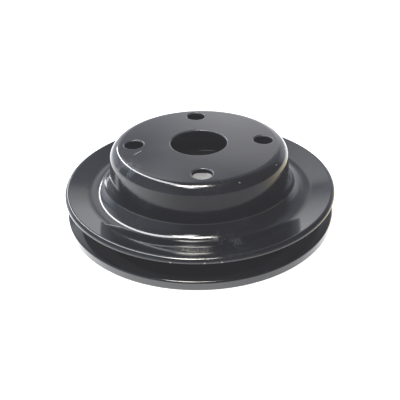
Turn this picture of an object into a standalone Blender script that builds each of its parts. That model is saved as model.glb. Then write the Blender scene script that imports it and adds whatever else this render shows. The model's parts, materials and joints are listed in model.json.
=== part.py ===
"""A single-groove V belt pulley pressed from sheet steel, in metres.

The hub cup carries the mounting face and the groove's upper flange, the rear flange closes the
groove from below, and spot welds hold the two together. The pulley stands on the
rear flange's rim, with its axis on the Z axis and the mounting face up.
"""

import math

import bmesh
import bpy
from mathutils import Vector

MM = 0.001

OUTER_DIAMETER = 162.0 * MM
SHEET = 2.6 * MM
TOTAL_HEIGHT = 43.5 * MM

PILOT_DIAMETER = 33.0 * MM
BOLT_CIRCLE_DIAMETER = 76.2 * MM
BOLT_HOLE_DIAMETER = 11.0 * MM
BOLT_COUNT = 4

DRUM_TOP_DIAMETER = 103.8 * MM
DRUM_FOOT_DIAMETER = 109.8 * MM
SHOULDER_RADIUS = 7.0 * MM
ROOT_RADIUS = 9.0 * MM
RING_TOP = 15.4 * MM
RING_DIAMETER = 132.0 * MM
UPPER_RIM_TOP = 20.3 * MM
UPPER_RIM_FOOT = 16.8 * MM
UPPER_RIM_ROLL = 2.0 * MM
UPPER_FLANGE_BEND = 17.0 * MM

LOWER_RIM_TOP = 5.0 * MM
LOWER_RIM_ROLL = 1.2 * MM
LOWER_FLANGE_BEND = 3.6 * MM
GROOVE_ROOT_RADIUS = 0.4 * MM
GROOVE_WALL_ANGLE = math.radians(18)
GROOVE_FLOOR_DIAMETER = 138.0 * MM
REAR_BORE_DIAMETER = 101.0 * MM
RIM_LAND_WIDTH = 2.0 * MM
RIM_LAND_BEND = 0.6 * MM

WELD_COUNT = 8
WELD_CIRCLE_DIAMETER = 126.4 * MM
WELD_DIAMETER = 5.0 * MM
WELD_HEIGHT = 2.2 * MM

GAP = 0.3 * MM
EDGE_BREAK = 0.4 * MM
TURN_STEPS = 64
HOLE_SIDES = 24
WELD_SIDES = 16
ARC_STEP = math.radians(22.5)

PAINT = (0.012, 0.013, 0.016, 1.0)
WELD_STEEL = (0.23, 0.22, 0.21, 1.0)


def clear_scene():
    for found in list(bpy.data.objects):
        bpy.data.objects.remove(found, do_unlink=True)


def new_collection(name):
    made = bpy.data.collections.new(name)
    bpy.context.scene.collection.children.link(made)
    return made


def new_material(name, colour, metallic, roughness):
    made = bpy.data.materials.new(name)
    made.use_nodes = True
    shader = made.node_tree.nodes["Principled BSDF"]
    shader.inputs["Base Color"].default_value = colour
    shader.inputs["Metallic"].default_value = metallic
    shader.inputs["Roughness"].default_value = roughness
    return made


def add_object(name, mesh, collection, material=None):
    made = bpy.data.objects.new(name, mesh)
    collection.objects.link(made)
    if material:
        mesh.materials.append(material)
    return made


def line_crossing(point, along, other_point, other_along):
    """Where two lines of the section cross."""
    share = (other_point - point).cross(other_along) / along.cross(other_along)
    return point + along * share


def offset_corners(corners, distance):
    """The corners of the sheet's other face, with both of its ends trimmed parallel to the axis."""
    runs = [(b - a).normalized() for a, b in zip(corners, corners[1:])]
    starts = [a + Vector((-run.y, run.x)) * distance for a, run in zip(corners, runs)]
    axis = Vector((0.0, 1.0))
    moved = [line_crossing(starts[0], runs[0], corners[0], axis)]
    for i in range(1, len(runs)):
        moved.append(line_crossing(starts[i - 1], runs[i - 1], starts[i], runs[i]))
    moved.append(line_crossing(starts[-1], runs[-1], corners[-1], axis))
    return moved


def rounded(corners, radii):
    """The outline through these corners, each inner one bent to its radius."""
    outline = [corners[0]]
    for before, corner, after, radius in zip(corners, corners[1:], corners[2:], radii):
        back = (before - corner).normalized()
        ahead = (after - corner).normalized()
        half = back.angle(ahead) / 2
        centre = corner + (back + ahead).normalized() * (radius / math.sin(half))
        start = corner + back * (radius / math.tan(half)) - centre
        turn = math.copysign(math.pi - 2 * half, back.cross(ahead) * -1)
        steps = max(1, math.ceil(abs(turn) / ARC_STEP))
        for step in range(steps + 1):
            angle = turn * step / steps
            swung = (
                start.x * math.cos(angle) - start.y * math.sin(angle),
                start.x * math.sin(angle) + start.y * math.cos(angle),
            )
            outline.append(centre + Vector(swung))
    outline.append(corners[-1])
    return outline


def sheet_section(corners, radii, thickness):
    """The closed section of a bent sheet: one face by its corners and bends, the other at its left."""
    inner_corners = offset_corners(corners, thickness)
    inner_radii = []
    for before, corner, after, radius in zip(corners, corners[1:], corners[2:], radii):
        bends_left = (corner - before).cross(after - corner) > 0
        inner_radii.append(radius - thickness if bends_left else radius + thickness)
    return rounded(corners, radii) + rounded(inner_corners, inner_radii)[::-1]


def rolled_rim(section, radius):
    """The section with its first corner, at the rim, rolled over."""
    return rounded([section[-1], section[0], section[1]], [radius])[1:-1] + section[1:]


def turned_down(section, foot):
    """The section with its last corner, under the rim, drawn down to a lip as thick as the sheet."""
    lip_back = section[-1].x - SHEET
    return section[:-1] + [Vector((lip_back, foot)), Vector((section[-1].x, foot))]


def break_edges(body):
    bevel = body.modifiers.new("Edge break", "BEVEL")
    bevel.width = EDGE_BREAK
    bevel.segments = 1
    bevel.limit_method = "ANGLE"
    bevel.angle_limit = math.radians(50)


def turned(name, section, collection, material):
    """A body of revolution about Z, from its closed section."""
    mesh = bpy.data.meshes.new(name)
    work = bmesh.new()
    points = [work.verts.new((point.x, 0.0, point.y)) for point in section]
    for a, b in zip(points, points[1:] + points[:1]):
        work.edges.new((a, b))
    work.to_mesh(mesh)
    work.free()
    made = add_object(name, mesh, collection, material)
    screw = made.modifiers.new("Turn", "SCREW")
    screw.steps = TURN_STEPS
    screw.render_steps = TURN_STEPS
    screw.use_merge_vertices = True
    screw.merge_threshold = 0.00001
    screw.use_normal_calculate = True
    screw.use_smooth_shade = True
    break_edges(made)
    return made


def cylinder_mesh(name, diameter, height, sides):
    """An upright cylinder about its own origin."""
    mesh = bpy.data.meshes.new(name)
    work = bmesh.new()
    bmesh.ops.create_cone(
        work,
        cap_ends=True,
        segments=sides,
        radius1=diameter / 2,
        radius2=diameter / 2,
        depth=height,
    )
    work.to_mesh(mesh)
    work.free()
    return mesh


def around(diameter, count):
    """Evenly spaced places on a circle, the first one at +X."""
    for i in range(count):
        angle = 2 * math.pi * i / count
        yield Vector((math.cos(angle), math.sin(angle))) * (diameter / 2)


def cut(body, cutter):
    boolean = body.modifiers.new(cutter.name, "BOOLEAN")
    boolean.object = cutter
    boolean.operation = "DIFFERENCE"
    boolean.solver = "EXACT"
    cutter.hide_render = True
    cutter.display_type = "WIRE"


def shade_round(body):
    for polygon in body.data.polygons:
        polygon.use_smooth = True
    body.data.set_sharp_from_angle(angle=math.radians(30))


def groove_wall_rise(from_radius):
    """How far a groove wall rises between this radius and the rim."""
    return (OUTER_DIAMETER / 2 - from_radius) * math.tan(GROOVE_WALL_ANGLE)


def hub_cup_section():
    """From the rim in along the upper flange, up the tapered drum and in over the shoulder."""
    rim = OUTER_DIAMETER / 2
    outside = [
        Vector((rim, UPPER_RIM_TOP)),
        Vector((RING_DIAMETER / 2, RING_TOP)),
        Vector((DRUM_FOOT_DIAMETER / 2, RING_TOP)),
        Vector((DRUM_TOP_DIAMETER / 2, TOTAL_HEIGHT)),
        Vector((PILOT_DIAMETER / 2, TOTAL_HEIGHT)),
    ]
    bends = [UPPER_FLANGE_BEND, ROOT_RADIUS, SHOULDER_RADIUS]
    section = turned_down(sheet_section(outside, bends, SHEET), UPPER_RIM_FOOT)
    return rolled_rim(section, UPPER_RIM_ROLL)


def rear_flange_section():
    """From the rim in along the groove's lower wall, up its floor and in under the drum."""
    rim = OUTER_DIAMETER / 2
    floor = GROOVE_FLOOR_DIAMETER / 2
    ring_top = RING_TOP - SHEET - GAP
    groove_side = [
        Vector((rim, LOWER_RIM_TOP)),
        Vector((floor, LOWER_RIM_TOP + groove_wall_rise(floor))),
        Vector((floor, ring_top)),
        Vector((REAR_BORE_DIAMETER / 2, ring_top)),
    ]
    section = sheet_section(groove_side, [GROOVE_ROOT_RADIUS, LOWER_FLANGE_BEND], SHEET)
    land_end = rim - RIM_LAND_WIDTH
    under_land = section[-1].y + groove_wall_rise(land_end - RIM_LAND_BEND)
    rim_land = [
        Vector((land_end - RIM_LAND_BEND, under_land)),
        Vector((land_end, 0.0)),
        Vector((rim, 0.0)),
    ]
    return rolled_rim(section[:-1] + rim_land, LOWER_RIM_ROLL)


def build_hub_cup(collection, cutters, paint):
    cup = turned("hub_cup", hub_cup_section(), collection, paint)
    plate_middle = TOTAL_HEIGHT - SHEET / 2
    for i, place in enumerate(around(BOLT_CIRCLE_DIAMETER, BOLT_COUNT), 1):
        name = f"bolt_hole_{i}"
        shape = cylinder_mesh(name, BOLT_HOLE_DIAMETER, 3 * SHEET, HOLE_SIDES)
        drill = add_object(name, shape, cutters)
        drill.location = (place.x, place.y, plate_middle)
        cut(cup, drill)
    return cup


def build_rear_flange(collection, paint):
    return turned("rear_flange", rear_flange_section(), collection, paint)


def build_spot_welds(collection, cutters, steel, cup, rear):
    """Nuggets across the joint of the two sheets, each one in a pocket that both sheets share."""
    joint = RING_TOP - SHEET - GAP / 2
    for i, place in enumerate(around(WELD_CIRCLE_DIAMETER, WELD_COUNT), 1):
        name = f"spot_weld_{i}"
        shape = cylinder_mesh(name, WELD_DIAMETER, WELD_HEIGHT, WELD_SIDES)
        nugget = add_object(name, shape, collection, steel)
        nugget.location = (place.x, place.y, joint)
        break_edges(nugget)
        shade_round(nugget)
        name = f"weld_pocket_{i}"
        shape = cylinder_mesh(name, WELD_DIAMETER + 2 * GAP, WELD_HEIGHT + 2 * GAP, WELD_SIDES)
        pocket = add_object(name, shape, cutters)
        pocket.location = nugget.location
        cut(cup, pocket)
        cut(rear, pocket)


def main():
    clear_scene()
    pulley = new_collection("v_belt_pulley")
    cutters = new_collection("cutters")
    cutters.hide_render = True
    paint = new_material("gloss_black_paint", PAINT, 0.0, 0.22)
    steel = new_material("weld_steel", WELD_STEEL, 1.0, 0.45)
    cup = build_hub_cup(pulley, cutters, paint)
    rear = build_rear_flange(pulley, paint)
    build_spot_welds(pulley, cutters, steel, cup, rear)


main()
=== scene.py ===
"""The looks of the V belt pulley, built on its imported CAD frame, in metres."""

import json
import math

import bmesh
import bpy
from mathutils import Matrix, Vector


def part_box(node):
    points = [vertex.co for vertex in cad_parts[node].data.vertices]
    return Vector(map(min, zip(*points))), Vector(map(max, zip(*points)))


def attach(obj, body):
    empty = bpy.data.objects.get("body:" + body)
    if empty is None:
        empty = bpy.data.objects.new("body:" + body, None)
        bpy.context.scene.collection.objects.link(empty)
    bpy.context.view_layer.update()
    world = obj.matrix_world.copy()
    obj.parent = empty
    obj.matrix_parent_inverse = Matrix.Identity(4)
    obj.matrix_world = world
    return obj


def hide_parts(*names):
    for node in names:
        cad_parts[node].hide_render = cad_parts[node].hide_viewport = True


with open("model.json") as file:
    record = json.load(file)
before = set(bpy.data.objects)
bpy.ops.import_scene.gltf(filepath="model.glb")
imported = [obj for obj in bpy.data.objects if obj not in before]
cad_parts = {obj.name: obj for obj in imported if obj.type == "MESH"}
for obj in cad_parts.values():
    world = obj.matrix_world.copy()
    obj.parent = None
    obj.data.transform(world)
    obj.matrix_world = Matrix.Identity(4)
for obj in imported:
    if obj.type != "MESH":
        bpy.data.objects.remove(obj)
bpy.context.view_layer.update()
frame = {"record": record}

MM = 0.001
RECORD = frame["record"]
MOUNTS = {mount["name"]: Vector(mount["pos_m"]) for mount in RECORD["mounts"]}

# Taken from the frame.
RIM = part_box("hub_cup")[1].x
TOP = MOUNTS["mounting_face"].z
SHEET = TOP - MOUNTS["hub_seat"].z
RING_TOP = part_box("hub_cup")[0].z + SHEET
REAR_RING_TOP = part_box("rear_flange")[1].z

# The rest of the two pressings' sections, as they are in the CAD.
PILOT = 16.5 * MM
BOLT_CIRCLE = 38.1 * MM
BOLT_HOLE = 5.5 * MM
BOLT_COUNT = 4
DRUM_TOP = 51.9 * MM
DRUM_FOOT = 54.9 * MM
SHOULDER_RADIUS = 7.0 * MM
ROOT_RADIUS = 9.0 * MM
RING_EDGE = 66.0 * MM
UPPER_RIM_TOP = 20.3 * MM
UPPER_RIM_FOOT = 16.8 * MM
UPPER_RIM_ROLL = 2.0 * MM
UPPER_FLANGE_BEND = 17.0 * MM
LOWER_RIM_TOP = 5.0 * MM
LOWER_RIM_ROLL = 1.2 * MM
LOWER_FLANGE_BEND = 3.6 * MM
GROOVE_WALL_ANGLE = math.radians(18)
GROOVE_FLOOR = 69.0 * MM
REAR_BORE = 50.5 * MM
RIM_LAND_WIDTH = 2.0 * MM
RIM_LAND_BEND = 0.6 * MM
WELD_CIRCLE = 63.2 * MM
WELD_COUNT = 8
WELD_RADIUS = 2.5 * MM
WELD_HALF_HEIGHT = 1.1 * MM

# Where the looks are finer or rounder than the CAD.
GROOVE_ROOT_RADIUS = 0.5 * MM
RIM_EDGE = 0.4 * MM
RIM_LAND_EDGE = 0.28 * MM
HOLE_LIP = 1.0 * MM
HOLE_ROLL = 0.98 * MM
HOLE_EDGE = 0.5 * MM
DENT_RADIUS = 1.6 * MM
DENT_DEPTH = 0.7 * MM
DENT_STEPS = 8
DENT_MARGIN = 0.2 * MM
WELD_FACE = 2.0 * MM
WELD_ROUNDING = 0.7 * MM
CENTRE = 0.05 * MM
TURN_STEPS = 384
HOLE_STEPS = 96
SMALL_STEPS = 48
DISC_STEPS = 128
ARC_STEP = math.radians(2.5)
LEAST_ARC_STEPS = 3
SAME_POINT = 1e-7

PAINT_DARK = (0.006, 0.0062, 0.0075, 1)
PAINT_PALE = (0.011, 0.0113, 0.013, 1)
PAINT_RUBBED = (0.085, 0.09, 0.10, 1)
BARE_STEEL = (0.24, 0.235, 0.23, 1)
PAINT_ROUGHNESS = (0.075, 0.125)
RUBBED_ROUGHNESS = 0.22
BARE_ROUGHNESS = 0.4
PAINT_IOR = 1.5
PAINT_BUMP = 0.05
PAINT_BUMP_DEPTH = 0.12 * MM
GRIT_SHARE = 0.12
CHIP_SINK = 4.0
WELD_STEEL = (0.23, 0.22, 0.21, 1)
WELD_ROUGHNESS = (0.35, 0.6)
WELD_BUMP = 0.4
WELD_BUMP_DEPTH = 0.2 * MM

# How fine each pattern is, in features to a metre.
BLOTCHES = 38
PEEL = 520
GRIT = 2600
WEAR = 160
STREAKS = 900
RAGGED = 1400
WELD_GRAIN = 900

# Marks in the paint, placed by their degrees round the axis from +X, on the feature they are on.
SCRATCH_FROM = (34 * MM, -166)
SCRATCH_TO = (40 * MM, -160)
SHOULDER_CHIPS = (-68, -35, -12)
RIM_CHIPS = (-103, -91, -85)
CHIP_RADIUS = 0.8 * MM
SCRATCH_EDGE = 0.035 * MM
SCRATCH_CORE = 0.01 * MM
SHOULDER_SCUFFS = (-147,)
RING_SCUFFS = (-80,)
SCUFF_RADIUS = 11 * MM
FAINT_SCUFF = 0.15

PAINTED_POOL_REACH = 40 * MM
FLOOR_SHADE = 78 * MM
FLOOR_NEAR = 85 * MM
FLOOR_FAR = 140 * MM
FLOOR_EDGE = 3.0
DISC_CENTRE = 0.5 * MM
FLOOR_COLOUR = (0.86, 0.855, 0.84, 1)
FLOOR_ROUGHNESS = 0.9
FLOOR_GLOW_COLOUR = (1, 0.99, 0.97, 1)
# The floor inside the drum glows as a painted pool of the light that falls through the holes.
PAINTED_POOL_GLOW = 0.35
OPEN_FLOOR_GLOW = 0.9
SEEN_FLOOR_HEIGHT = 0.01 * MM
SEEN_FLOOR = (0.98, 0.99, 1.0, 1)
SEEN_FLOOR_WARM = (1.0, 0.9, 0.66, 1)
SEEN_UNDER_PULLEY = 0.02
STRIP_START = Vector((-0.12, -0.48, 1.0))
STRIP_END = Vector((-1.15, 2.70, 1.0))
STRIP_WIDTH = 0.15
STRIP_RADIANCE = 18
STRIP_COLOUR = (0.95, 0.97, 1.0)
LAMP_PLACE = Vector((-0.10, -0.16, 1.0))
LAMP_RADIUS = 0.26
LAMP_FLATNESS = 0.34
LAMP_RADIANCE = 110.0
LAMP_COLOUR = (1.0, 0.965, 0.88, 1)
HAZE = (-0.026, -0.026, -0.029)

# The room's light, from all round and added from each side.
ROOM = (0.14, 0.14, 0.15)
LEFT_LIGHT = (0.36, 0.42, 0.52)
FRONT_LIGHT = (0.05, 0.05, 0.05)
BACK_LIGHT = (0.32, 0.35, 0.43)
BACK_LOW_LIGHT = (0.68, 0.69, 0.73)
BACK_RIGHT_LIGHT = (0.85, 0.82, 0.78)
BACK_HIGH_LIGHT = (1.15, 1.15, 1.15)

CAMERA_LENS = 48.81
CAMERA_SENSOR = 36.0
CAMERA_NEAR = 0.01
CAMERA_FAR = 20.0
CAMERA_DISTANCE = 340.4 * MM
CAMERA_TARGET = Vector((0.0, 0.0, 3.15 * MM))
CAMERA_ELEVATION = math.radians(32.09)
CAMERA_TURN = math.radians(-2.2)
CAMERA_ROLL = math.radians(-1.25)


# --- Sections and surfaces ---------------------------------------------------------------------


def line_crossing(point, along, other_point, other_along):
    share = (other_point - point).cross(other_along) / along.cross(other_along)
    return point + along * share


def offset_corners(corners, distance):
    """The corners of the sheet's other face, with both of its ends trimmed parallel to the axis."""
    runs = [(b - a).normalized() for a, b in zip(corners, corners[1:])]
    starts = [a + Vector((-run.y, run.x)) * distance for a, run in zip(corners, runs)]
    axis = Vector((0.0, 1.0))
    moved = [line_crossing(starts[0], runs[0], corners[0], axis)]
    for i in range(1, len(runs)):
        moved.append(line_crossing(starts[i - 1], runs[i - 1], starts[i], runs[i]))
    moved.append(line_crossing(starts[-1], runs[-1], corners[-1], axis))
    return moved


def rounded(corners, radii):
    """The outline through these corners, each inner one bent to its radius."""
    outline = [corners[0]]
    for before, corner, after, radius in zip(corners, corners[1:], corners[2:], radii):
        back = (before - corner).normalized()
        ahead = (after - corner).normalized()
        half = back.angle(ahead) / 2
        centre = corner + (back + ahead).normalized() * (radius / math.sin(half))
        start = corner + back * (radius / math.tan(half)) - centre
        turn = math.copysign(math.pi - 2 * half, back.cross(ahead) * -1)
        steps = max(LEAST_ARC_STEPS, math.ceil(abs(turn) / ARC_STEP))
        for step in range(steps + 1):
            angle = turn * step / steps
            swung = (
                start.x * math.cos(angle) - start.y * math.sin(angle),
                start.x * math.sin(angle) + start.y * math.cos(angle),
            )
            outline.append(centre + Vector(swung))
    outline.append(corners[-1])
    return outline


def turned_rings(work, outline, steps, centre=Vector((0.0, 0.0))):
    """Rings of vertices through the outline's points, joined by quads, and closed if the outline is."""
    closed = (outline[0] - outline[-1]).length < SAME_POINT
    rings = []
    for point in outline[: -1 if closed else None]:
        ring = []
        for step in range(steps):
            angle = 2 * math.pi * step / steps
            x = centre.x + point.x * math.cos(angle)
            y = centre.y + point.x * math.sin(angle)
            ring.append(work.verts.new((x, y, point.y)))
        rings.append(ring)
    ahead = rings[1:] + (rings[:1] if closed else [])
    for ring, following in zip(rings, ahead):
        for step in range(steps):
            after = (step + 1) % steps
            work.faces.new((ring[step], ring[after], following[after], following[step]))
    return rings


def ring_edges(work, ring):
    pairs = zip(ring, ring[1:] + ring[:1])
    return [work.edges.get(pair) or work.edges.new(pair) for pair in pairs]


def fill_flat(work, rings):
    """The flat surface between an outer ring and the rings of the holes in it."""
    edges = [edge for ring in rings for edge in ring_edges(work, ring)]
    bmesh.ops.triangle_fill(work, use_beauty=True, edges=edges)


def around(radius, count):
    for i in range(count):
        angle = 2 * math.pi * i / count
        yield Vector((math.cos(angle), math.sin(angle))) * radius


def finished_piece(name, work, material, node):
    """The piece from its mesh work: faces out, smooth, flats kept flat by weighted normals."""
    bmesh.ops.recalc_face_normals(work, faces=work.faces)
    mesh = bpy.data.meshes.new(name)
    work.to_mesh(mesh)
    work.free()
    for polygon in mesh.polygons:
        polygon.use_smooth = True
    mesh.materials.append(material)
    piece = bpy.data.objects.new(name, mesh)
    bpy.context.scene.collection.objects.link(piece)
    weighted = piece.modifiers.new("Flats stay flat", "WEIGHTED_NORMAL")
    weighted.mode = "FACE_AREA"
    weighted.weight = 100
    weighted.keep_sharp = True
    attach(piece, "root")
    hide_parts(node)


def lip(radius):
    """The wall of a hole pierced in the mounting face, from the flat above to the flat below."""
    corners = [
        Vector((radius + HOLE_LIP, TOP)),
        Vector((radius, TOP)),
        Vector((radius, TOP - SHEET)),
        Vector((radius + HOLE_LIP, TOP - SHEET)),
    ]
    return rounded(corners, [HOLE_ROLL, HOLE_EDGE])


# --- The two pressings and their welds ---------------------------------------------------------


def make_hub_cup(paint):
    work = bmesh.new()
    outside = [
        Vector((RIM, UPPER_RIM_TOP)),
        Vector((RING_EDGE, RING_TOP)),
        Vector((DRUM_FOOT, RING_TOP)),
        Vector((DRUM_TOP, TOP)),
        Vector((BOLT_CIRCLE, TOP)),
    ]
    inside = offset_corners(outside, SHEET)
    rim_lip = [Vector((RIM, UPPER_RIM_FOOT)), Vector((RIM - SHEET, UPPER_RIM_FOOT))]
    corners = outside[::-1] + rim_lip + inside[1:]
    bends = [SHOULDER_RADIUS, ROOT_RADIUS, UPPER_FLANGE_BEND, UPPER_RIM_ROLL]
    lip_bends = [RIM_EDGE, RIM_EDGE]
    backs = [UPPER_FLANGE_BEND + SHEET, ROOT_RADIUS + SHEET, SHOULDER_RADIUS - SHEET]
    section = rounded(corners, bends + lip_bends + backs)[1:-1]
    rings = turned_rings(work, section, TURN_STEPS)
    tops, bottoms = [rings[0]], [rings[-1]]
    pilot = turned_rings(work, lip(PILOT), HOLE_STEPS * 2)
    tops.append(pilot[0])
    bottoms.append(pilot[-1])
    for place in around(BOLT_CIRCLE, BOLT_COUNT):
        hole = turned_rings(work, lip(BOLT_HOLE), HOLE_STEPS, place)
        tops.append(hole[0])
        bottoms.append(hole[-1])
    fill_flat(work, tops)
    fill_flat(work, bottoms)
    finished_piece("pressed_hub_cup", work, paint, "hub_cup")


def make_rear_flange(paint):
    work = bmesh.new()
    slope = math.tan(GROOVE_WALL_ANGLE)
    wall_drop = SHEET / math.cos(GROOVE_WALL_ANGLE)
    floor_corner = LOWER_RIM_TOP + (RIM - GROOVE_FLOOR) * slope
    back_corner = LOWER_RIM_TOP - wall_drop + (RIM - GROOVE_FLOOR + SHEET) * slope
    land_end = RIM - RIM_LAND_WIDTH
    under_land = LOWER_RIM_TOP - wall_drop + (RIM_LAND_WIDTH + RIM_LAND_BEND) * slope
    ring_under = REAR_RING_TOP - SHEET
    flat_end = GROOVE_FLOOR - LOWER_FLANGE_BEND - DENT_MARGIN
    corners = [
        Vector((flat_end, ring_under)),
        Vector((GROOVE_FLOOR - SHEET, ring_under)),
        Vector((GROOVE_FLOOR - SHEET, back_corner)),
        Vector((land_end - RIM_LAND_BEND, under_land)),
        Vector((land_end, 0.0)),
        Vector((RIM, 0.0)),
        Vector((RIM, LOWER_RIM_TOP)),
        Vector((GROOVE_FLOOR, floor_corner)),
        Vector((GROOVE_FLOOR, REAR_RING_TOP)),
        Vector((REAR_BORE, REAR_RING_TOP)),
        Vector((REAR_BORE, ring_under)),
        Vector((REAR_BORE + HOLE_LIP, ring_under)),
    ]
    radii = [
        LOWER_FLANGE_BEND - SHEET,
        GROOVE_ROOT_RADIUS + SHEET,
        RIM_EDGE,
        RIM_LAND_EDGE,
        RIM_EDGE,
        LOWER_RIM_ROLL,
        GROOVE_ROOT_RADIUS,
        LOWER_FLANGE_BEND,
        HOLE_EDGE,
        HOLE_EDGE,
    ]
    rings = turned_rings(work, rounded(corners, radii), TURN_STEPS)
    unders = [rings[0], rings[-1]]
    for place in around(WELD_CIRCLE, WELD_COUNT):
        unders.append(dent(work, place, ring_under))
    fill_flat(work, unders)
    finished_piece("pressed_rear_flange", work, paint, "rear_flange")


def dent(work, place, level):
    """A shallow round dent in the underside, left by the projection that a weld was made on."""
    outline = []
    for step in range(DENT_STEPS + 1):
        share = step / DENT_STEPS
        reach = CENTRE + (DENT_RADIUS - CENTRE) * (1 - share)
        rise = DENT_DEPTH / 2 * (1 - math.cos(math.pi * share))
        outline.append(Vector((reach, level + rise)))
    rings = turned_rings(work, outline, SMALL_STEPS, place)
    work.faces.new(rings[-1])
    return rings[0]


def make_spot_welds(steel):
    middle = (RING_TOP - SHEET + REAR_RING_TOP) / 2
    for i, place in enumerate(around(WELD_CIRCLE, WELD_COUNT), 1):
        work = bmesh.new()
        corners = [
            Vector((CENTRE, middle + WELD_HALF_HEIGHT)),
            Vector((WELD_FACE, middle + WELD_HALF_HEIGHT)),
            Vector((WELD_RADIUS, middle)),
            Vector((WELD_FACE, middle - WELD_HALF_HEIGHT)),
            Vector((CENTRE, middle - WELD_HALF_HEIGHT)),
        ]
        rings = turned_rings(work, rounded(corners, [WELD_ROUNDING] * 3), SMALL_STEPS, place)
        work.faces.new(rings[0])
        work.faces.new(rings[-1])
        finished_piece(f"weld_nugget_{i}", work, steel, f"spot_weld_{i}")


# --- Materials ---------------------------------------------------------------------------------


def add_node(tree, kind, inputs=(), **settings):
    """A shader node with its settings, its sockets set to values or linked to other nodes' sockets."""
    made = tree.nodes.new("ShaderNode" + kind)
    for name, value in settings.items():
        setattr(made, name, value)
    for socket, value in dict(inputs).items():
        if isinstance(value, bpy.types.NodeSocket):
            tree.links.new(value, made.inputs[socket])
        else:
            made.inputs[socket].default_value = value
    return made


def new_material(name):
    made = bpy.data.materials.new(name)
    made.use_nodes = True
    return made, made.node_tree, made.node_tree.nodes["Principled BSDF"]


def noise(tree, vector, scale, detail=2.0, roughness=0.5):
    inputs = {"Vector": vector, "Scale": scale, "Detail": detail, "Roughness": roughness}
    return add_node(tree, "TexNoise", inputs).outputs["Fac"]


def ramp(tree, value, low, high, to_low=0.0, to_high=1.0):
    inputs = {"Value": value, "From Min": low, "From Max": high, "To Min": to_low, "To Max": to_high}
    return add_node(tree, "MapRange", inputs, interpolation_type="SMOOTHSTEP").outputs["Result"]


def maths(tree, operation, a, b):
    return add_node(tree, "Math", {0: a, 1: b}, operation=operation).outputs[0]


def distance(tree, vector, point):
    return add_node(tree, "VectorMath", {0: vector, 1: point}, operation="DISTANCE").outputs["Value"]


def from_line(tree, vector, start, end):
    """How far the vector is from the straight line between two points, for a short line."""
    along = (end - start).length
    reach = maths(tree, "ADD", distance(tree, vector, start), distance(tree, vector, end))
    return maths(tree, "SUBTRACT", reach, along)


def hole_edges(tree, place):
    """1 at the edges of the pierced holes, 0 away from them."""
    flat = add_node(tree, "VectorMath", {0: place, 1: (1, 1, 0)}, operation="MULTIPLY").outputs[0]
    x, y, z = add_node(tree, "SeparateXYZ", {0: place}).outputs
    x = maths(tree, "ABSOLUTE", x, 0.0)
    y = maths(tree, "ABSOLUTE", y, 0.0)
    folded = {"X": maths(tree, "MAXIMUM", x, y), "Y": maths(tree, "MINIMUM", x, y)}
    folded = add_node(tree, "CombineXYZ", folded).outputs[0]
    at_bolt = ramp(tree, distance(tree, folded, (BOLT_CIRCLE, 0, 0)), BOLT_HOLE + HOLE_LIP, BOLT_HOLE)
    at_pilot = ramp(tree, distance(tree, flat, (0, 0, 0)), PILOT + HOLE_LIP, PILOT)
    at_top = ramp(tree, z, TOP - HOLE_LIP, TOP - 0.3 * HOLE_LIP)
    return maths(tree, "MULTIPLY", maths(tree, "MAXIMUM", at_bolt, at_pilot), at_top)


def turned_to(radius, height, degrees):
    """The point at this radius and height, this far round the axis from +X."""
    angle = math.radians(degrees)
    return Vector((radius * math.cos(angle), radius * math.sin(angle), height))


def on_shoulder(degrees):
    """Halfway over the shoulder's bend."""
    inset = SHOULDER_RADIUS * (1 - math.sin(math.pi / 4))
    return turned_to(DRUM_TOP - inset, TOP - inset, degrees)


def scuffing(tree, place, blotch):
    """Where the gloss is rubbed: round the shoulder and in a few patches, broken up by fine noise."""
    worn = ramp(tree, noise(tree, place, WEAR, 4, 0.65), 0.42, 0.62)
    streaks = add_node(tree, "Mapping", {0: place, 3: (1.0, 0.35, 1.0)}).outputs[0]
    worn = maths(tree, "MULTIPLY", worn, ramp(tree, noise(tree, streaks, STREAKS, 3, 0.7), 0.32, 0.60))
    patches = ramp(tree, blotch, 0.52, 0.75, 0.0, FAINT_SCUFF)
    middles = [on_shoulder(degrees) for degrees in SHOULDER_SCUFFS]
    middles += [turned_to(WELD_CIRCLE, RING_TOP, degrees) for degrees in RING_SCUFFS]
    for middle in middles:
        patch = ramp(tree, distance(tree, place, middle), SCUFF_RADIUS, SCUFF_RADIUS * 0.3)
        patches = maths(tree, "MAXIMUM", patches, patch)
    return maths(tree, "MULTIPLY", worn, patches)


def bare_metal(tree, place):
    """Chips and a scratch down to the steel, with ragged outlines."""
    ragged = noise(tree, place, RAGGED, 2)
    ends = [turned_to(radius, TOP, degrees) for radius, degrees in (SCRATCH_FROM, SCRATCH_TO)]
    bare = ramp(tree, from_line(tree, place, *ends), SCRATCH_EDGE, SCRATCH_CORE)
    middles = [on_shoulder(degrees) for degrees in SHOULDER_CHIPS]
    middles += [turned_to(RIM, UPPER_RIM_FOOT + RIM_EDGE, degrees) for degrees in RIM_CHIPS]
    size = ramp(tree, ragged, 0.3, 0.7, CHIP_RADIUS * 0.4, CHIP_RADIUS)
    for middle in middles:
        inside = maths(tree, "LESS_THAN", distance(tree, place, middle), size)
        bare = maths(tree, "MAXIMUM", bare, inside)
    return bare


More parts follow.
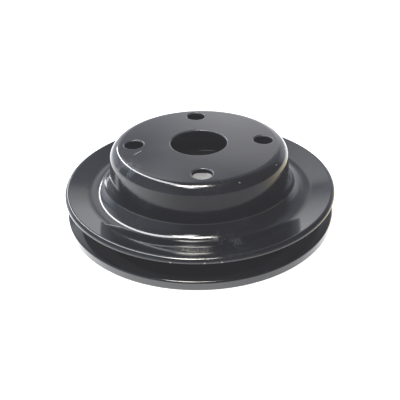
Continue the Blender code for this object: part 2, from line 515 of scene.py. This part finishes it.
def black_paint():
    """Gloss black over pressed steel: mottled, rubbed, worn at the holes' edges, and chipped."""
    material, tree, shader = new_material("gloss_black_paint")
    place = add_node(tree, "TexCoord").outputs["Object"]
    blotch = noise(tree, place, BLOTCHES, 3)
    peel = noise(tree, place, PEEL, 2, 0.4)
    grit = noise(tree, place, GRIT, 3, 0.6)
    rubbed = scuffing(tree, place, blotch)
    uneven = ramp(tree, peel, 0.2, 0.5, 0.45, 1.0)
    worn_edge = maths(tree, "MULTIPLY", hole_edges(tree, place), uneven)
    rubbed = maths(tree, "MAXIMUM", rubbed, worn_edge)
    bare = bare_metal(tree, place)
    tones = {0: blotch, 6: PAINT_DARK, 7: PAINT_PALE}
    colour = add_node(tree, "Mix", tones, data_type="RGBA").outputs[2]
    for share, tone in ((rubbed, PAINT_RUBBED), (bare, BARE_STEEL)):
        colour = add_node(tree, "Mix", {0: share, 6: colour, 7: tone}, data_type="RGBA").outputs[2]
    tree.links.new(colour, shader.inputs["Base Color"])
    dull = ramp(tree, blotch, 0.35, 0.7, *PAINT_ROUGHNESS)
    dull = maths(tree, "ADD", dull, maths(tree, "MULTIPLY", rubbed, RUBBED_ROUGHNESS))
    dull = maths(tree, "MAXIMUM", dull, maths(tree, "MULTIPLY", bare, BARE_ROUGHNESS))
    tree.links.new(dull, shader.inputs["Roughness"])
    height = maths(tree, "ADD", peel, maths(tree, "MULTIPLY", grit, GRIT_SHARE))
    height = maths(tree, "SUBTRACT", height, maths(tree, "MULTIPLY", bare, CHIP_SINK))
    relief = {"Height": height, "Strength": PAINT_BUMP, "Distance": PAINT_BUMP_DEPTH}
    bump = add_node(tree, "Bump", relief)
    tree.links.new(bump.outputs["Normal"], shader.inputs["Normal"])
    shader.inputs["IOR"].default_value = PAINT_IOR
    return material


def weld_steel():
    material, tree, shader = new_material("weld_steel")
    place = add_node(tree, "TexCoord").outputs["Object"]
    grain = noise(tree, place, WELD_GRAIN, 4, 0.6)
    tree.links.new(ramp(tree, grain, 0.3, 0.7, *WELD_ROUGHNESS), shader.inputs["Roughness"])
    shader.inputs["Base Color"].default_value = WELD_STEEL
    shader.inputs["Metallic"].default_value = 1.0
    relief = {"Height": grain, "Strength": WELD_BUMP, "Distance": WELD_BUMP_DEPTH}
    bump = add_node(tree, "Bump", relief)
    tree.links.new(bump.outputs["Normal"], shader.inputs["Normal"])
    return material


# --- Floor, light and camera -------------------------------------------------------------------


def glow_material(name, colour, strength=0.0):
    """Light and nothing else."""
    material, tree, shader = new_material(name)
    shader.inputs["Base Color"].default_value = (0, 0, 0, 1)
    shader.inputs["Specular IOR Level"].default_value = 0.0
    shader.inputs["Emission Color"].default_value = colour
    shader.inputs["Emission Strength"].default_value = strength
    return material, tree, shader


def stage_disc(name, radii, height, materials):
    """A flat disc in rings, each ring with its own material, the inmost first."""
    work = bmesh.new()
    outline = [Vector((radius, height)) for radius in [DISC_CENTRE, *radii]]
    rings = turned_rings(work, outline, DISC_STEPS)
    for face in work.faces:
        reach = face.calc_center_median().to_2d().length
        face.material_index = sum(reach > radius for radius in radii[:-1])
    work.faces.new(rings[0]).material_index = 0
    bmesh.ops.recalc_face_normals(work, faces=work.faces)
    mesh = bpy.data.meshes.new(name)
    work.to_mesh(mesh)
    work.free()
    for material in materials:
        mesh.materials.append(material)
    disc = bpy.data.objects.new(name, mesh)
    bpy.context.scene.collection.objects.link(disc)
    return disc


def reflections_only(card):
    """The card is seen in the paint and nowhere else, so it throws no shadow and lights nothing."""
    card.visible_camera = False
    card.visible_diffuse = False
    card.visible_shadow = False
    card.visible_transmission = False


def floor_material(name, glow):
    material, _, shader = new_material(name)
    shader.inputs["Base Color"].default_value = FLOOR_COLOUR
    shader.inputs["Roughness"].default_value = FLOOR_ROUGHNESS
    shader.inputs["Specular IOR Level"].default_value = 0.0
    shader.inputs["Emission Color"].default_value = FLOOR_GLOW_COLOUR
    shader.inputs["Emission Strength"].default_value = glow
    return material


def make_floor():
    """A pale floor that glows softly, except in a ring under the pulley's flanges; inside the drum a
    weaker glow is a painted pool of the light that falls through the holes.
    """
    materials = [
        floor_material("painted_light_floor_in_drum", PAINTED_POOL_GLOW),
        floor_material("shaded_floor", 0.0),
        floor_material("pale_floor", OPEN_FLOOR_GLOW),
    ]
    floor = stage_disc("floor", [PAINTED_POOL_REACH, FLOOR_SHADE, FLOOR_EDGE], 0.0, materials)
    floor.visible_glossy = False


def aim(tree, vector, direction):
    """How nearly the vector points in this direction, 1 when it is in line."""
    unit = add_node(tree, "VectorMath", {0: vector}, operation="NORMALIZE").outputs[0]
    aimed = Vector(direction).normalized()
    return add_node(tree, "VectorMath", {0: unit, 1: aimed}, operation="DOT_PRODUCT").outputs["Value"]


def make_floor_glow():
    """What the paint sees of the floor: bright close by, dim at the right front, warm at the right."""
    material, tree, shader = glow_material("floor_in_paint", SEEN_FLOOR)
    place = add_node(tree, "TexCoord").outputs["Object"]
    dim = ramp(tree, aim(tree, place, (0.4, -0.9, 0.0)), -0.2, 0.95, 2.6, 0.8)
    reach = add_node(tree, "VectorMath", {0: place}, operation="LENGTH").outputs["Value"]
    beside = ramp(tree, aim(tree, place, (0.8, -0.6, 0.0)), 0.55, 0.95, 3.4, 2.3)
    near = ramp(tree, reach, FLOOR_NEAR, FLOOR_FAR, beside, 0.0)
    warm = ramp(tree, aim(tree, place, (0.98, 0.05, 0.0)), 0.84, 0.97)
    tint = {0: warm, 6: SEEN_FLOOR, 7: SEEN_FLOOR_WARM}
    tint = add_node(tree, "Mix", tint, data_type="RGBA").outputs[2]
    tree.links.new(tint, shader.inputs["Emission Color"])
    tree.links.new(maths(tree, "MAXIMUM", near, dim), shader.inputs["Emission Strength"])
    under, _, _ = glow_material("floor_under_pulley_in_paint", (1, 1, 1, 1), SEEN_UNDER_PULLEY)
    radii = [FLOOR_SHADE, FLOOR_EDGE]
    disc = stage_disc("floor_in_paint", radii, SEEN_FLOOR_HEIGHT, [under, material])
    reflections_only(disc)


def make_strip_light():
    data = bpy.data.lights.new("ceiling_strip", "AREA")
    data.shape = "RECTANGLE"
    along = STRIP_END - STRIP_START
    data.size = STRIP_WIDTH
    data.size_y = along.length
    data.color = STRIP_COLOUR
    data.energy = STRIP_RADIANCE * math.pi * data.size * data.size_y
    strip = bpy.data.objects.new("ceiling_strip", data)
    strip.location = (STRIP_START + STRIP_END) / 2
    strip.rotation_euler = (0, 0, -math.atan2(along.x, along.y))
    strip.visible_camera = False
    bpy.context.scene.collection.objects.link(strip)


def make_lamp_glint():
    """The bright near end of the ceiling light, which only the paint's reflections show."""
    material, tree, shader = glow_material("lamp_glint", LAMP_COLOUR)
    place = add_node(tree, "TexCoord").outputs["Object"]
    reach = add_node(tree, "VectorMath", {0: place}, operation="LENGTH").outputs["Value"]
    glow = ramp(tree, reach, LAMP_RADIUS, LAMP_RADIUS * 0.5, 0.0, LAMP_RADIANCE)
    tree.links.new(glow, shader.inputs["Emission Strength"])
    lamp = stage_disc("lamp_glint", [LAMP_RADIUS], 0.0, [material])
    lamp.location = LAMP_PLACE
    lamp.scale = (1.0, LAMP_FLATNESS, 1.0)
    reflections_only(lamp)


def lift_blacks():
    """A trace of lens haze, so that nothing is quite black."""
    view = bpy.context.scene.view_settings
    view.view_transform = "Standard"
    view.use_curve_mapping = True
    view.curve_mapping.black_level = HAZE
    view.curve_mapping.update()


def make_world():
    """A dim room: bluish at the left, with a bright band, a wall and a high window behind."""
    world = bpy.data.worlds.new("room")
    world.use_nodes = True
    bpy.context.scene.world = world
    tree = world.node_tree
    look = add_node(tree, "TexCoord").outputs["Generated"]
    x, y, z = add_node(tree, "SeparateXYZ", {0: look}).outputs
    behind = ramp(tree, y, 0.35, 0.75)
    low = ramp(tree, z, 0.46, 0.33)
    high = ramp(tree, z, 0.455, 0.52)
    right = maths(tree, "MULTIPLY", ramp(tree, x, -0.10, 0.10), ramp(tree, x, 0.45, 0.25))
    right = maths(tree, "MULTIPLY", right, ramp(tree, z, 0.51, 0.455))
    high_left = maths(tree, "MULTIPLY", ramp(tree, x, 0.06, -0.06), high)
    left = ramp(tree, x, -0.15, -0.75)
    front = ramp(tree, y, -0.2, -0.7)
    lights = [
        (1.0, ROOM),
        (left, LEFT_LIGHT),
        (front, FRONT_LIGHT),
        (behind, BACK_LIGHT),
        (maths(tree, "MULTIPLY", behind, low), BACK_LOW_LIGHT),
        (maths(tree, "MULTIPLY", behind, right), BACK_RIGHT_LIGHT),
        (maths(tree, "MULTIPLY", behind, high_left), BACK_HIGH_LIGHT),
    ]
    colour = (0.0, 0.0, 0.0)
    for share, tint in lights:
        lit = add_node(tree, "VectorMath", {0: tint, "Scale": share}, operation="SCALE").outputs[0]
        colour = add_node(tree, "VectorMath", {0: colour, 1: lit}, operation="ADD").outputs[0]
    tree.links.new(colour, tree.nodes["Background"].inputs["Color"])


def make_camera():
    data = bpy.data.cameras.new("camera")
    data.lens = CAMERA_LENS
    data.sensor_width = CAMERA_SENSOR
    data.clip_start = CAMERA_NEAR
    data.clip_end = CAMERA_FAR
    camera = bpy.data.objects.new("camera", data)
    bpy.context.scene.collection.objects.link(camera)
    bpy.context.scene.camera = camera
    flat = math.cos(CAMERA_ELEVATION)
    right = Vector((math.cos(CAMERA_TURN), math.sin(CAMERA_TURN), 0.0))
    back = Vector((right.y * flat, -right.x * flat, math.sin(CAMERA_ELEVATION)))
    up = back.cross(right)
    across = right * math.cos(CAMERA_ROLL) + up * math.sin(CAMERA_ROLL)
    upward = up * math.cos(CAMERA_ROLL) - right * math.sin(CAMERA_ROLL)
    axes = Matrix((across, upward, back)).transposed()
    camera.rotation_mode = "QUATERNION"
    camera.rotation_quaternion = axes.to_quaternion()
    camera.location = CAMERA_TARGET + back * CAMERA_DISTANCE


# --- Assembly ----------------------------------------------------------------------------------

make_camera()
paint = black_paint()
make_hub_cup(paint)
make_rear_flange(paint)
make_spot_welds(weld_steel())
make_floor()
make_floor_glow()
make_strip_light()
make_lamp_glint()
make_world()
lift_blacks()
